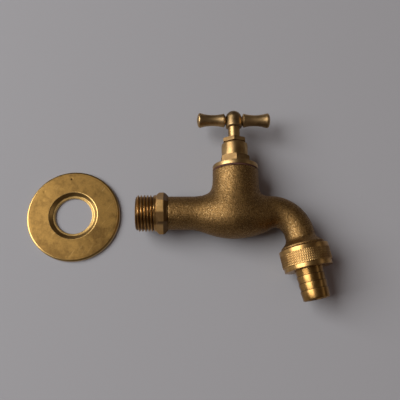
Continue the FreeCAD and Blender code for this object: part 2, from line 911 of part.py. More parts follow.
# The rounded rim of an arm's end meets its flat dome without an edge
rim_offset = "(dims.arm_end_radius - dims.arm_end_round)"
dome_less_rim = "(dims.arm_end_dome - dims.arm_end_round)"
rim_rise = "sqrt(%s ^ 2 - %s ^ 2)" % (dome_less_rim, rim_offset)
rim_start = "(dims.arm_reach - dims.arm_end_dome + %s)" % rim_rise
dome_share = "(dims.arm_end_dome / %s)" % dome_less_rim
dome_edge = "(%s * %s)" % (rim_offset, dome_share)
dome_start = "(dims.arm_reach - dims.arm_end_dome + %s * %s)" % (rim_rise, dome_share)


def handle_arm(name, turn):
    """One arm with its inner end against the hub, bored for the cross bar."""
    arm = turned(
        name,
        [
            (bar_hole_radius, arm_foot),
            ("dims.arm_neck_radius", arm_foot),
            ("dims.arm_inner_radius", "dims.arm_inner_reach - dims.arm_inner_rim"),
            ("dims.arm_inner_radius", "dims.arm_inner_reach", "dims.arm_waist_curve", 1),
            ("dims.arm_end_radius", rim_start, "dims.arm_end_round", -1),
            (dome_edge, dome_start, "dims.arm_end_dome", -1),
            ("0", "dims.arm_reach"),
            ("0", "%s + dims.loose_clearance" % bar_end),
            (bar_hole_radius, "%s + dims.loose_clearance" % bar_end),
        ],
    )
    return put(arm, x="dims.spindle_x", z=arm_level, turn=turn, axis=(0, 1, 0))


handle_arm_inlet = handle_arm("handle_arm_inlet", "-90")
handle_arm_outlet = handle_arm("handle_arm_outlet", "90")

# Hose union: knurled nut, washer and barbed tail down the outlet axis
nut_top = "(dims.nozzle_shoulder + dims.loose_clearance)"
nut_thread_bore = "(dims.outlet_thread_radius + dims.thread_clearance)"
lip_seat = "(dims.nut_height - dims.nut_lip_thickness)"
lip_bore = "(dims.tail_radius + dims.loose_clearance)"
union_nut = on_outlet(
    turned(
        "union_nut",
        [
            ("%s + dims.nut_edge" % nut_thread_bore, "0"),
            ("dims.nut_radius - dims.nut_edge", "0"),
            ("dims.nut_radius", "dims.nut_edge"),
            ("dims.nut_radius", "dims.nut_height - dims.nut_rim_height - dims.nut_edge"),
            ("dims.nut_rim_radius", "dims.nut_height - dims.nut_rim_height"),
            ("dims.nut_rim_radius", "dims.nut_height - dims.nut_edge"),
            ("dims.nut_rim_radius - dims.nut_edge", "dims.nut_height"),
            (lip_bore, "dims.nut_height"),
            (lip_bore, lip_seat),
            (nut_thread_bore, lip_seat),
            (nut_thread_bore, "dims.nut_edge"),
        ],
    ),
    nut_top,
)
flange_radius = "(dims.outlet_thread_radius - dims.loose_clearance)"
union_washer = on_outlet(
    ring(
        "union_washer", "dims.union_washer_bore", flange_radius, "dims.union_washer_thickness"
    ),
    nozzle_end,
)
tail_top = "(%s + dims.union_washer_thickness)" % nozzle_end
lip_top = "(%s + %s)" % (nut_top, lip_seat)
nut_foot = "(%s + dims.nut_height)" % nut_top
tail_outline = [
    ("dims.tail_bore_radius", "0"),
    (flange_radius, "0"),
    (flange_radius, "%s - %s - dims.face_gap" % (lip_top, tail_top)),
    ("dims.tail_radius", "%s - %s - dims.face_gap" % (lip_top, tail_top)),
]
# The first barb starts inside the nut's lip, and the last one is longer than the others
barbs_start = "(%s - %s - dims.tail_barb_cover)" % (nut_foot, tail_top)
for barb in range(TAIL_BARBS):
    crest = "dims.tail_radius - %d * dims.tail_barb_taper" % barb
    tail_outline.append((crest, "%s + %d * dims.tail_barb_length" % (barbs_start, barb)))
    barb_end = "%s + %d * dims.tail_barb_length" % (barbs_start, barb + 1)
    if barb == TAIL_BARBS - 1:
        barb_end += " + dims.tail_end_length"
    tail_outline.append(("%s - dims.tail_barb_step" % crest, barb_end))
tail_end_radius = (
    "dims.tail_radius - %d * dims.tail_barb_taper - dims.tail_barb_step - dims.tail_end_chamfer"
    % (TAIL_BARBS - 1)
)
tail_end = "%s + dims.tail_end_chamfer" % barb_end
tail_outline.append((tail_end_radius, tail_end))
tail_outline.append(("dims.tail_bore_radius", tail_end))
hose_tail = on_outlet(turned("hose_tail", tail_outline), tail_top)

# Wall rose: dished cover ring whose back lies in the plane that touches the swell
rose_floor = "(dims.rose_height - dims.rose_recess_depth)"
slope_top = "(dims.rose_height - dims.rose_lip_round * (1 - cos(dims.rose_recess_slope)))"
slope_top_radius = "(dims.rose_lip_radius - dims.rose_lip_round * sin(dims.rose_recess_slope))"
floor_radius = "(%s - (%s - %s) / tan(dims.rose_recess_slope))" % (
    slope_top_radius,
    slope_top,
    rose_floor,
)
back_floor = "(%s - dims.rose_wall)" % rose_floor
back_floor_radius = "(%s + dims.rose_wall * tan(dims.rose_recess_slope / 2))" % floor_radius
back_crown = "(dims.rose_height - dims.rose_wall)"
back_crown_radius = "(%s + (%s - %s) / tan(dims.rose_recess_slope))" % (
    back_floor_radius,
    back_crown,
    back_floor,
)
wall_rose = put(
    turned(
        "wall_rose",
        [
            ("dims.rose_radius - dims.rose_wall", "0"),
            ("dims.rose_radius", "0"),
            (
                "dims.rose_radius",
                "dims.rose_height - dims.rose_crown_drop - dims.rose_rim_round",
                "dims.rose_rim_round",
                -1,
            ),
            (
                "dims.rose_radius - dims.rose_rim_round",
                "dims.rose_height - dims.rose_crown_drop",
            ),
            ("dims.rose_lip_radius", "dims.rose_height", "dims.rose_lip_round", -1),
            (slope_top_radius, slope_top),
            (floor_radius, rose_floor),
            ("dims.rose_bore_radius", rose_floor),
            ("dims.rose_bore_radius", back_floor),
            (back_floor_radius, back_floor),
            (back_crown_radius, back_crown),
            (
                "dims.rose_radius - dims.rose_wall",
                "dims.rose_height - dims.rose_crown_drop - dims.rose_wall",
            ),
        ],
    ),
    x="dims.rose_x",
    y="dims.swell_half_width",
    z="dims.rose_z",
    turn="90",
    axis=(1, 0, 0),
)

nodes = {
    "tap_body": tap_body,
    "bonnet_washer": bonnet_washer,
    "bonnet": bonnet,
    "packing_base_ring": base_ring,
    "gland_packing": gland_packing,
    "gland_follower": gland_follower,
    "gland_screw": gland_screw,
    "jumper": jumper,
    "valve_washer": valve_washer,
    "washer_plate": washer_plate,
    "washer_nut": washer_nut,
    "spindle": spindle,
    "handle_hub": handle_hub,
    "handle_bar": handle_bar,
    "handle_arm_inlet": handle_arm_inlet,
    "handle_arm_outlet": handle_arm_outlet,
    "union_nut": union_nut,
    "union_washer": union_washer,
    "hose_tail": hose_tail,
    "wall_rose": wall_rose,
}
for label, piece in nodes.items():
    piece.Label = label
doc.recompute()

for thing in doc.Objects:
    if "Invalid" in thing.State or "Error" in thing.State:
        raise RuntimeError("%s did not build: %s" % (thing.Name, thing.State))
for label, piece in nodes.items():
    if piece.Shape.isNull() or not piece.Shape.isValid():
        raise RuntimeError("%s has no valid shape" % label)

os.makedirs("parts", exist_ok=True)
for label, piece in nodes.items():
    piece.Shape.exportStep("parts/%s.step" % label)
    box = piece.Shape.BoundBox
    print(
        "%-18s solids %d volume %9.1f  x %7.2f %7.2f  y %7.2f %7.2f  z %7.2f %7.2f"
        % (
            label,
            len(piece.Shape.Solids),
            piece.Shape.Volume,
            box.XMin,
            box.XMax,
            box.YMin,
            box.YMax,
            box.ZMin,
            box.ZMax,
        )
    )
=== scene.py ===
import math
from functools import reduce
from operator import add

import bmesh
import bpy
import numpy as np
from mathutils import Matrix, Vector


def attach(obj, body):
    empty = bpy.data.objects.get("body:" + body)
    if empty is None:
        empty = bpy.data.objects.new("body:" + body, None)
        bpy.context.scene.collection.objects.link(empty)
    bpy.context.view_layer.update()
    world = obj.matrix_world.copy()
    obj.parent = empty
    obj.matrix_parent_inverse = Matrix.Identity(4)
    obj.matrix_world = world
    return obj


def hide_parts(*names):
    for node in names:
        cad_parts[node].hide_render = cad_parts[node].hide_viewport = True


# Garden tap with a screwed hose union and a loose wall rose. Metres, +X from the inlet to the
# outlet, +Z up the spindle; the tap lies on its back, so the table is the plane behind it.
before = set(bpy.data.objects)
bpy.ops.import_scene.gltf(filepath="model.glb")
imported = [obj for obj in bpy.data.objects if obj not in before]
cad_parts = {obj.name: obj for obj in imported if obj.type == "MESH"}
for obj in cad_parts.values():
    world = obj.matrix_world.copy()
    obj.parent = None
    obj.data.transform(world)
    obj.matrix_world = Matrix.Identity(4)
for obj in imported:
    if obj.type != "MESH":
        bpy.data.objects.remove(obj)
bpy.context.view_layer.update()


# Body: one sand casting in brass with the inlet tube, the barrel round the valve, the egg-shaped
# swell and the swan-neck spout that flares out to carry the hose union. Its skin keeps the grain
# of the sand, dull brown in the pits and rubbed bright on the grains.
class Wire:
    """A node socket; arithmetic on it adds Math nodes to its tree."""

    def __init__(self, tree, socket=None):
        self.tree, self.socket = tree, socket

    def node(self, kind, settings=None, sockets=None, out=0):
        made = self.tree.nodes.new(kind)
        for name, value in (settings or {}).items():
            setattr(made, name, value)
        for name, value in (sockets or {}).items():
            if isinstance(value, Wire):
                self.tree.links.new(value.socket, made.inputs[name])
            else:
                made.inputs[name].default_value = value
        return Wire(self.tree, made.outputs[out])

    def math(self, operation, *terms):
        return self.node("ShaderNodeMath", {"operation": operation}, dict(enumerate(terms)))

    def vector(self, operation, *terms, out=0):
        return self.node("ShaderNodeVectorMath", {"operation": operation}, dict(enumerate(terms)), out)

    def __add__(self, other):
        return self.math("ADD", self, other)

    def __radd__(self, other):
        return self.math("ADD", other, self)

    def __sub__(self, other):
        return self.math("SUBTRACT", self, other)

    def __rsub__(self, other):
        return self.math("SUBTRACT", other, self)

    def __mul__(self, other):
        return self.math("MULTIPLY", self, other)

    def __rmul__(self, other):
        return self.math("MULTIPLY", other, self)

    def __truediv__(self, other):
        return self.math("DIVIDE", self, other)

    def __neg__(self):
        return self.math("MULTIPLY", self, -1.0)


def split(place):
    """The three coordinates of a place, as wires."""
    parts = place.node("ShaderNodeSeparateXYZ", None, {0: place})
    return [Wire(place.tree, output) for output in parts.socket.node.outputs]


def between(value, low, high):
    """How far a wire lies between two numbers, smoothed, from 0 to 1."""
    return value.node(
        "ShaderNodeMapRange",
        {"interpolation_type": "SMOOTHSTEP"},
        {"Value": value, "From Min": low, "From Max": high},
    )


def tint(share, first, second):
    """Colour between two others, each a wire or a plain colour."""
    ends = [shade if isinstance(shade, Wire) else (*shade, 1) for shade in (first, second)]
    return share.node("ShaderNodeMix", {"data_type": "RGBA"}, {0: share, 6: ends[0], 7: ends[1]}, 2)


def noise(place, scale, detail=3.0, rough=0.55, warp=0.0):
    """A wire that wanders round 0.5 over the surface."""
    return place.node(
        "ShaderNodeTexNoise",
        None,
        {"Vector": place, "Scale": scale, "Detail": detail, "Roughness": rough, "Distortion": warp},
        "Fac",
    )


def bump(height, strength, distance):
    """A fine relief that follows a height wire."""
    return height.node(
        "ShaderNodeBump", None, {"Strength": strength, "Distance": distance, "Height": height}
    )


def start_finish(name, metallic=1.0):
    """A new material: (material, its shader, the surface's own place as a wire)."""
    material = bpy.data.materials.new(name)
    material.use_nodes = True
    shader = material.node_tree.nodes["Principled BSDF"]
    shader.inputs["Metallic"].default_value = metallic
    return material, shader, Wire(material.node_tree).node("ShaderNodeTexCoord", out="Object")


def join(material, shader, **wires):
    """Lead wires to the shader's sockets."""
    for name, wire in wires.items():
        material.node_tree.links.new(wire.socket, shader.inputs[name.replace("_", " ")])


def cast_finish():
    """Brass as the sand leaves it: grains that glint, with dull pits between them."""
    pit_brown, skin_brown, worn_brass = (0.135, 0.072, 0.023), (0.265, 0.148, 0.049), (0.76, 0.51, 0.23)
    material, shader, place = start_finish("cast_brass")
    grain = noise(place, scale=2600, detail=2.0, rough=0.6)
    clump = noise(place, scale=1150, rough=0.6)
    cloud = noise(place, scale=110, detail=4.0, rough=0.6)
    skin = between(clump * 0.75 + cloud * 0.25, 0.38, 0.62)
    glint = between(grain, 0.54, 0.68)
    join(
        material,
        shader,
        Base_Color=tint(glint * 0.6, tint(skin, pit_brown, skin_brown), worn_brass),
        Roughness=0.50 - glint * 0.16,
        Normal=bump(grain * 0.5 + clump * 0.7, strength=1.0, distance=0.0003),
    )
    return material


cast_brass = cast_finish()


def start_tree(name, sizes):
    """A geometry tree with a named input for each size: (tree, its inputs as wires)."""
    tree = bpy.data.node_groups.new(name, "GeometryNodeTree")
    tree.interface.new_socket("Geometry", in_out="OUTPUT", socket_type="NodeSocketGeometry")
    tree.interface.new_socket("Geometry", in_out="INPUT", socket_type="NodeSocketGeometry")
    for size in sizes:
        tree.interface.new_socket(size, in_out="INPUT", socket_type="NodeSocketFloat")
    tree.interface.new_socket("Finish", in_out="INPUT", socket_type="NodeSocketMaterial")
    given = tree.nodes.new("NodeGroupInput")
    return tree, {socket.name: Wire(tree, socket) for socket in given.outputs if socket.name}


def end_tree(tree, geometry, finish):
    """Close a geometry tree with real meshes and their material."""
    real = geometry.node("GeometryNodeRealizeInstances", None, {"Geometry": geometry})
    done = real.node("GeometryNodeSetMaterial", None, {"Geometry": real, "Material": finish})
    tree.links.new(done.socket, tree.nodes.new("NodeGroupOutput").inputs[0])


def shape_with(tree, sizes, finish, blank=None):
    """Run a geometry tree on a blank mesh and return the plain mesh that it makes."""
    made = bpy.data.objects.new("blank", blank or bpy.data.meshes.new("blank"))
    bpy.context.scene.collection.objects.link(made)
    modifier = made.modifiers.new("shape", "NODES")
    modifier.node_group = tree
    for item in tree.interface.items_tree:
        if item.in_out == "INPUT" and item.name in sizes:
            modifier[item.identifier] = sizes[item.name]
        elif item.in_out == "INPUT" and item.name == "Finish":
            modifier[item.identifier] = finish
    shaped = bpy.data.meshes.new_from_object(
        made.evaluated_get(bpy.context.evaluated_depsgraph_get())
    )
    bpy.data.objects.remove(made)
    return shaped


def place_piece(name, mesh, body, slot, *stands_for):
    """Make a finished mesh a piece that rides on a body of the frame."""
    piece = bpy.data.objects.new(name, mesh)
    bpy.context.scene.collection.objects.link(piece)
    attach(piece, body)
    if stands_for:
        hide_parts(*stands_for)


spindle_place, outlet_tilt = 0.0463, math.radians(11)
body_sizes = {
    "Tube radius": 0.0096,
    "Tube start": 0.0067,
    "Barrel place": spindle_place,
    "Barrel radius": 0.0135,
    "Barrel top": 0.0252,
    "Barrel foot": 0.0025,
    "Swell place": 0.0453,
    "Swell level": -0.0025,
    "Swell length": 0.0243,
    "Swell width": 0.0125,
    "Swell height": 0.0120,
    "Spout radius": 0.0085,
    "Spout level": 0.0014,
    "Bend place": 0.0655,
    "Bend radius": 0.0167,
    "Flare start": 0.002,
    "Flare length": 0.005,
    "Flare radius": 0.0124,
    "Shoulder": 0.0083,
    "Outlet core radius": 0.0104,
    "Outlet end": 0.0132,
    "Half width": 0.01425,
    # how softly the forms run into each other
    "Inlet blend": 0.0150,
    "Spout blend": 0.0075,
    "Swell blend": 0.0065,
    "Rim blend": 0.0008,
    "Side blend": 0.0015,
    # the way of the water, with the valve's seat in the middle
    "Inlet bore": 0.0072,
    "Inlet bore end": 0.0215,
    "Passage radius": 0.0058,
    "Bowl radius": 0.0085,
    "Bowl top": -0.0015,
    "Seat radius": 0.0060,
    "Seat foot": -0.0028,
    "Seat top": 0.0066,
    "Seat outside": 0.0076,
    "Moat foot": 0.0045,
    "Chamber radius": 0.01145,
    "Chamber foot": 0.0065,
    "Spout bore": 0.0063,
}
passage_in = ((0.0170, 0.0), (spindle_place, -0.0055))
passage_out = ((0.0480, 0.0110), (body_sizes["Bend place"], body_sizes["Spout level"]))


def casting_tree():
    """The casting as one distance field: its round forms run into each other as in the mould."""
    tree, size = start_tree("Casting", body_sizes)
    wire = Wire(tree)
    x, y, z = split(wire.node("GeometryNodeInputPosition"))

    def least(*terms):
        return reduce(lambda first, second: wire.math("MINIMUM", first, second), terms)

    def most(*terms):
        return reduce(lambda first, second: wire.math("MAXIMUM", first, second), terms)

    def length(*terms):
        return wire.math("SQRT", reduce(add, [term * term for term in terms]))

    def blend(first, second, width):
        return wire.math("SMOOTH_MIN", first, second, width)

    def cut_off(first, second, width):
        return wire.math("SMOOTH_MAX", first, second, width)

    def passage(ends):
        (x0, z0), (x1, z1) = ends
        run = (x1 - x0) ** 2 + (z1 - z0) ** 2
        share = ((x - x0) * (x1 - x0) + (z - z0) * (z1 - z0)) / run
        share = most(least(share, 1.0), 0.0)
        off = length(x - x0 - share * (x1 - x0), y, z - z0 - share * (z1 - z0))
        return off - size["Passage radius"]

    # outside: tube, barrel with its round foot, swell, spout and flare, each a little into the next
    overlap = 0.001
    tube = most(length(y, z) - size["Tube radius"], size["Tube start"] - x, x - size["Barrel place"])
    beside = x - size["Barrel place"]
    barrel = length(beside, y, least(z - size["Barrel foot"], 0.0)) - size["Barrel radius"]
    half_sizes = [size["Swell length"], size["Swell width"], size["Swell height"]]
    spots = [x - size["Swell place"], y, z - size["Swell level"]]
    reach = [spot / half for spot, half in zip(spots, half_sizes)]
    slope = [part / half for part, half in zip(reach, half_sizes)]
    tiny = 0.001  # keeps the middle of the swell from a division by nought
    swell = length(*reach) * (length(*reach) - 1.0) / (length(*slope) + tiny)
    off_bend = x - size["Bend place"]
    bend_level = size["Spout level"] - size["Bend radius"]
    ring = length(off_bend, z - bend_level) - size["Bend radius"]
    out = off_bend - size["Bend radius"] * math.cos(outlet_tilt)
    drop = z - bend_level - size["Bend radius"] * math.sin(outlet_tilt)
    along = out * math.sin(outlet_tilt) - drop * math.cos(outlet_tilt)
    aside = length(out * math.cos(outlet_tilt) + drop * math.sin(outlet_tilt), y)
    root = most(length(y, z - size["Spout level"]) - size["Spout radius"], -beside, off_bend - overlap)
    bend = most(length(ring, y) - size["Spout radius"], -off_bend, along - overlap)
    widening = most(least((along - size["Flare start"]) / size["Flare length"], 1.0), 0.0)
    widening = wire.math("POWER", widening, 2.0)
    flare_wall = aside - size["Spout radius"] - widening * (size["Flare radius"] - size["Spout radius"])
    flare = most(flare_wall, -overlap - along, along - size["Shoulder"])
    core_start = size["Shoulder"] - overlap
    core = most(aside - size["Outlet core radius"], core_start - along, along - size["Outlet end"])
    half_change = 0.004
    spout_side = between(beside, -half_change, half_change)
    width = size["Inlet blend"] + spout_side * (size["Spout blend"] - size["Inlet blend"])
    outside = blend(blend(tube, barrel, width), least(root, bend, flare), size["Spout blend"])
    outside = blend(outside, swell, size["Swell blend"])
    outside = cut_off(outside, z - size["Barrel top"], size["Rim blend"])
    outside = most(least(outside, core), size["Tube start"] - x)
    outside = cut_off(outside, wire.math("ABSOLUTE", y) - size["Half width"], size["Side blend"])

    # inside: the way of the water, under the seat, up through it and out to the spout
    inlet = most(length(y, z) - size["Inlet bore"], x - size["Inlet bore end"])
    seat = most(length(beside, y) - size["Seat radius"], size["Seat foot"] - z, z - size["Seat top"])
    bowl = most(length(beside, y, z - size["Seat foot"]) - size["Bowl radius"], z - size["Bowl top"])
    chamber = most(length(beside, y) - size["Chamber radius"], size["Chamber foot"] - z)
    moat = most(
        length(beside, y) - size["Chamber radius"],
        size["Seat outside"] - length(beside, y),
        size["Moat foot"] - z,
        z - (size["Chamber foot"] + overlap / 2),
    )
    bend_bore = most(length(ring, y) - size["Spout bore"], -off_bend, along - overlap)
    outlet = most(aside - size["Spout bore"], -overlap - along)
    ways = [passage(passage_in), passage(passage_out)]
    water = least(inlet, seat, bowl, chamber, moat, bend_bore, outlet, *ways)

    field_low, field_high = Vector((0.0055, -0.0155, -0.0285)), Vector((0.0975, 0.0155, 0.0265))
    voxel, far_outside = 0.00044, -0.01
    box = {"Min": field_low, "Max": field_high, "Background": far_outside}
    for axis, extent in zip("XYZ", field_high - field_low):
        box["Resolution " + axis] = round(extent / voxel)
    cast = wire.node("GeometryNodeVolumeCube", None, {"Density": -most(outside, -water), **box})
    skin = wire.node("GeometryNodeVolumeToMesh", None, {"Volume": cast, "Threshold": 0.0})
    smooth = wire.node("GeometryNodeSetShadeSmooth", None, {0: skin})
    end_tree(tree, smooth, size["Finish"])
    return tree


body_mesh = shape_with(casting_tree(), body_sizes, cast_brass)
place_piece("tap_body_casting", body_mesh, "fixed_body", "cast_brass", "tap_body")


# Inlet: the same casting, machined. The half-inch pipe thread is cut up to a hexagon that was cast
# with it and faced on the thread's side; a skirt falls from the hexagon to the tube. The thread's
# grooves are darker than its crests. The hexagon is painted a bright brass as a painted highlight,
# with painted shade on all but a band across its front, and on the skirt behind it.
def turned_finish(name, point, axis, colours, rough, lines=0.3, marks=0.35, darken_where=None):
    """Brass turned on a lathe: fine rings round its own axis, lightly tarnished.

    The last argument may say where the colour goes deep brown, from the place along the axis,
    the distance from it and the level; on some pieces that is painted shade.
    """
    mark_brown, deep_brown = (0.20, 0.11, 0.04), (0.07, 0.034, 0.013)
    material, shader, place = start_finish(name)
    out = place.vector("SUBTRACT", place, point)
    along = out.vector("DOT_PRODUCT", out, axis, out="Value")
    reach = out.vector("LENGTH", out, out="Value")
    away = out.math("SQRT", reach * reach - along * along + 1e-9)
    ring = out.node("ShaderNodeCombineXYZ", None, {"X": along, "Y": away})
    tool = noise(ring, scale=3600, detail=2.0, rough=0.7)
    cloud = noise(place, scale=150, detail=4.0, rough=0.6, warp=0.3)
    speck = between(noise(place, scale=1500, detail=2.0), 0.64, 0.76)
    colour = tint(between(cloud, 0.36, 0.66), *colours)
    colour = tint(speck * marks, colour, mark_brown)
    rough = rough + cloud * 0.12 + speck * 0.12
    # deep brown where the caller says: painted shade on some pieces, darker grooves on others
    if darken_where:
        dark_share = darken_where(along, away, split(place)[2])
        colour = tint(dark_share * 0.9, colour, deep_brown)
        rough = rough + dark_share * 0.15
    relief = bump(tool, strength=lines, distance=0.00002)
    join(material, shader, Base_Color=colour, Roughness=rough, Normal=relief)
    return material


def rounded(corners, steps=3):
    """A closed half section (radius, height, rounding) as points, its corners rounded."""
    points = []
    for index, (radius, height, rounding) in enumerate(corners):
        here = np.array((radius, height))
        before = np.array(corners[index - 1][:2]) - here
        after = np.array(corners[(index + 1) % len(corners)][:2]) - here
        if not rounding:
            points.append(tuple(here))
            continue
        first = here + before / np.linalg.norm(before) * rounding
        last = here + after / np.linalg.norm(after) * rounding
        for share in np.arange(steps + 1) / steps:
            curve = (1 - share) ** 2 * first + 2 * share * (1 - share) * here + share**2 * last
            points.append(tuple(curve))
    return points


def turned_mesh(name, section, columns, shape_at=None, sharp=38):
    """A closed shell turned from a half section round Z, listed outside upwards, then inside down.

    shape_at may move the points: (radius, height, angle) to a new radius and height. Edges that
    turn by more degrees than sharp stay hard.
    """
    rows = len(section)
    radius, height = (np.repeat(np.array(part, float)[:, None], columns, 1) for part in zip(*section))
    angle = np.repeat(np.arange(columns)[None, :] * (2 * math.pi / columns), rows, 0)
    if shape_at:
        radius, height = shape_at(radius, height, angle)
    spots = np.stack([radius * np.cos(angle), radius * np.sin(angle), height], -1).reshape(-1, 3)
    row, column = np.meshgrid(np.arange(rows), np.arange(columns), indexing="ij")
    over, beside = (row + 1) % rows, (column + 1) % columns
    corners = ((row, column), (row, beside), (over, beside), (over, column))
    faces = np.stack([first * columns + second for first, second in corners], -1).reshape(-1, 4)
    mesh = bpy.data.meshes.new(name)
    mesh.from_pydata(spots.tolist(), [], faces.tolist())
    shape = bmesh.new()
    shape.from_mesh(mesh)
    bmesh.ops.remove_doubles(shape, verts=shape.verts, dist=1e-7)
    bmesh.ops.delete(shape, geom=[edge for edge in shape.edges if not edge.link_faces], context="EDGES")
    shape.to_mesh(mesh)
    shape.free()
    mesh.shade_smooth()
    mesh.set_sharp_from_angle(angle=math.radians(sharp))
    return mesh


def hexagon_reach(flats, turn, angle):
    """How far a hexagon's side is from its axis at an angle, with a corner at the angle turn."""
    off = np.mod(angle - turn + math.pi / 6, math.pi / 3) - math.pi / 6
    return flats / 2 / np.cos(math.pi / 6 - np.abs(off))


def chamfered(reach, foot, top, rise):
    """Where a cone from (radius, height) foot to top meets the hexagon: (radius, height).

    rise says which of its two ends is asked for: 0 the one on the face, 1 the one on the sides.
    """
    if not rise:
        return np.minimum(reach, foot[0]), np.full_like(reach, foot[1])
    share = np.clip((reach - foot[0]) / (top[0] - foot[0]), 0.0, 1.0)
    return reach, foot[1] + share * (top[1] - foot[1])


inlet_thread = {
    "Crest": 0.010478,
    "Pitch": 0.001814,
    "Depth": 0.0011,
    "Turn": 0.37,
    "Runout": 0.0103,
    "Shoulder": 0.0116,
}


def thread_tree():
    """Cuts a right-hand screw thread into the outside of a turned blank along Z."""
    tree, size = start_tree("Screw thread", inlet_thread)
    wire = Wire(tree)
    x, y, z = split(wire.node("GeometryNodeInputPosition"))
    fade_length, skin, short_of = 0.0006, 0.0016, 0.0001
    away = wire.math("SQRT", x * x + y * y)
    turn = wire.math("ARCTAN2", y, x) / (2 * math.pi)
    phase = wire.math("FRACT", z / size["Pitch"] - turn + size["Turn"])
    groove = between(wire.math("ABSOLUTE", phase * 2.0 - 1.0), 0.12, 0.88)
    fade = between((z - size["Runout"]) / fade_length, 0.0, 1.0)
    outside = wire.math("GREATER_THAN", away, size["Crest"] - skin)
    outside = outside * wire.math("LESS_THAN", z, size["Shoulder"] - short_of)
    inner = wire.math("MINIMUM", away, size["Crest"] - size["Depth"] * groove * (1.0 - fade))
    share = (inner / away) * outside + (1.0 - outside)
    moved = wire.node("ShaderNodeCombineXYZ", None, {"X": x * share, "Y": y * share, "Z": z})
    cut = wire.node("GeometryNodeSetPosition", None, {"Geometry": size["Geometry"], "Position": moved})
    end_tree(tree, cut, size["Finish"])
    return tree


def thread_groove_tone(along, away, level):
    """Darker at the bottom of the thread than on its crests."""
    return 0.8 - between(away, 0.0093, 0.0102) * 0.8


def hexagon_painted_shade(along, away, level):
    """Painted shade behind the hexagon and on all its faces but a lit band across the front."""
    # painted shade by level: full on the lower faces, half at the bottom and on top, none in the band
    shaded_faces = 0.5 + 0.5 * between(level, -0.0088, -0.0078)
    lit_band = between(level, -0.0024, -0.0004) * (1.0 - 0.55 * between(level, 0.0040, 0.0060))
    return along.math("MAXIMUM", between(along, 0.0036, 0.0043), shaded_faces - lit_band)


inlet_point, inlet_axis = (0, 0, 0), (1, 0, 0)
inlet_brass = turned_finish(
    "inlet_brass",
    inlet_point,
    inlet_axis,
    ((0.40, 0.22, 0.072), (0.58, 0.35, 0.13)),
    rough=0.25,
    lines=0.2,
    darken_where=thread_groove_tone,
)
# the hexagon's brass is painted much brighter than the thread's: a painted highlight
inlet_hexagon_painted_highlight = turned_finish(
    "inlet_hexagon_painted_highlight",
    inlet_point,
    inlet_axis,
    ((0.80, 0.47, 0.165), (0.95, 0.59, 0.225)),
    rough=0.33,
    darken_where=hexagon_painted_shade,
)
bore, crest, thread_length = body_sizes["Inlet bore"], inlet_thread["Crest"], inlet_thread["Shoulder"]
nose, row_gap, hair = 0.0013, 0.00012, 0.00001
thread_rows = np.arange(row_gap, 0.0113, row_gap)
hex_flats, hex_turn, hex_back = 0.0210, math.radians(7), thread_length + 0.0044
cone_foot, cone_top = (0.01036, thread_length), (0.01213, thread_length + 0.0017)
skirt_length, skirt_fall, skirt_foot = 0.0015, 0.0013, 0.0102
inlet_end = hex_back + 0.0024
inlet_section = [(bore, 0.0), (crest - nose, 0.0)]
inlet_section += [(min(crest, crest - nose + level), float(level)) for level in thread_rows]
inlet_section += [(0.01038, 0.01138), (cone_foot[0], thread_length - hair)]
inlet_section += [cone_foot, cone_top, (0.0124, hex_back)]
inlet_section += [
    (cone_top[0] - skirt_fall * share**1.6, hex_back + skirt_length * share)
    for share in (0.2, 0.4, 0.6, 0.8, 1.0)
]
inlet_section += [(skirt_foot, inlet_end - 0.0003), (0.00962, inlet_end), (bore, inlet_end)]


def inlet_hexagon(radius, height, angle):
    """The turned blank cut to a hexagon, whose sides lean in behind it."""
    lean, thinnest = 0.6, 0.0097
    reach = hexagon_reach(hex_flats, hex_turn, angle)
    leaning = reach - np.clip(height - hex_back, 0, 1) * lean
    sides = (height > thread_length + 0.002) & (height < inlet_end - 0.0001)
    radius = np.where(sides, np.minimum(radius, np.maximum(leaning, thinnest)), radius)
    for end, (_, level) in enumerate((cone_foot, cone_top)):
        row = np.abs(height - level) < 1e-7
        at_end = chamfered(reach, cone_foot, cone_top, end)
        radius, height = np.where(row, at_end[0], radius), np.where(row, at_end[1], height)
    return radius, height


inlet_blank = turned_mesh("inlet_blank", inlet_section, 360, inlet_hexagon)
inlet_mesh = shape_with(thread_tree(), inlet_thread, inlet_brass, inlet_blank)
inlet_mesh.set_sharp_from_angle(angle=math.radians(20))
inlet_mesh.materials.append(inlet_hexagon_painted_highlight)
for face in inlet_mesh.polygons:
    if face.center.z > thread_length and face.center.xy.length > 0.0095:
        face.material_index = 1
on_inlet = Matrix.Translation((-thread_length, 0, 0)) @ Matrix.Rotation(math.pi / 2, 4, "Y")
inlet_mesh.transform(on_inlet)
place_piece("tap_body_inlet", inlet_mesh, "fixed_body", "cast_brass")

# Headwork: the bonnet is turned from bar with a collar, a hexagon for the spanner and a neck; it
# screws into the barrel on a red-brown fibre washer. The gland screw above it presses the packing
# on the spindle.
collar_top, hex_top, neck_top = 0.0286, 0.0342, 0.0426
spindle_point, spindle_axis = (spindle_place, 0, 0), (0, 0, 1)


def stretch(along, first, last):
    """1 from one place along an axis to another, and 0 elsewhere."""
    edge = 0.0001
    return between(along, first, first + edge) * (1.0 - between(along, last, last + edge))


def gland_painted_shade(along, away, level):
    """A ring of painted shade where the gland screw meets the neck."""
    return stretch(along, neck_top, neck_top + 0.0006)


headwork_brass = turned_finish(
    "headwork_brass",
    spindle_point,
    spindle_axis,
    ((0.34, 0.205, 0.08), (0.50, 0.325, 0.135)),
    rough=0.32,
    darken_where=gland_painted_shade,
)
hexagon_brass = turned_finish(
    "hexagon_brass",
    spindle_point,
    spindle_axis,
    ((0.20, 0.12, 0.048), (0.33, 0.205, 0.085)),
    rough=0.5,
    lines=0.8,
    marks=0.5,
)


